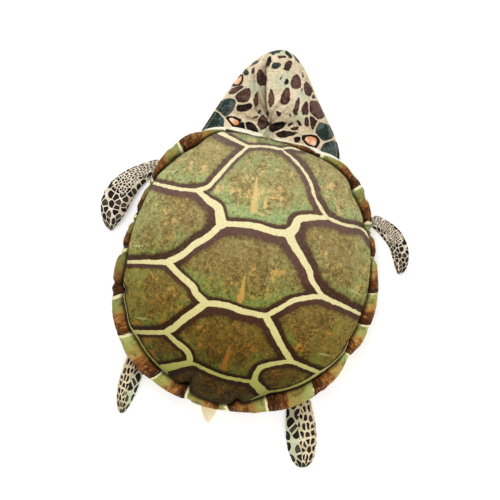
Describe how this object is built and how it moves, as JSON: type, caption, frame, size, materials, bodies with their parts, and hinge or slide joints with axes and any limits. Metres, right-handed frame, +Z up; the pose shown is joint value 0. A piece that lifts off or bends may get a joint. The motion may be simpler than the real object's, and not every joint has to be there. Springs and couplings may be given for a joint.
{
  "type": "plush turtle shell costume",
  "caption": "Stuffed cloth costume shaped as a sea turtle's shell: a domed printed cushion with a padded rim, a limp hood, flat flippers and a small tail, lying belly down.",
  "frame": {"origin": "middle of the shell on the belly panel's flat underside, at floor level", "axes": "+Y towards the hood, +Z up out of the dome, +X to the wearer's right"},
  "size_m": [0.7307, 0.9628, 0.203],
  "materials": {
    "scute_print": "short plush printed with brown and green scutes and cream seams",
    "rim_print": "short plush printed with marginal scutes, gathered at its seam",
    "belly_cloth": "plain cream plush",
    "hood_print": "short plush printed with dark spots on cream",
    "flipper_print": "short plush printed with dark cells in a cream net"
  },
  "bodies": {
    "root": {"carapace_cushion": "scute_print", "rim_roll": "rim_print", "belly_panel": "belly_cloth", "hood": "hood_print", "front_flipper_left": "flipper_print", "front_flipper_right": "flipper_print", "rear_flipper_left": "flipper_print", "rear_flipper_right": "flipper_print", "tail": "belly_cloth"}
  },
  "joints": []
}
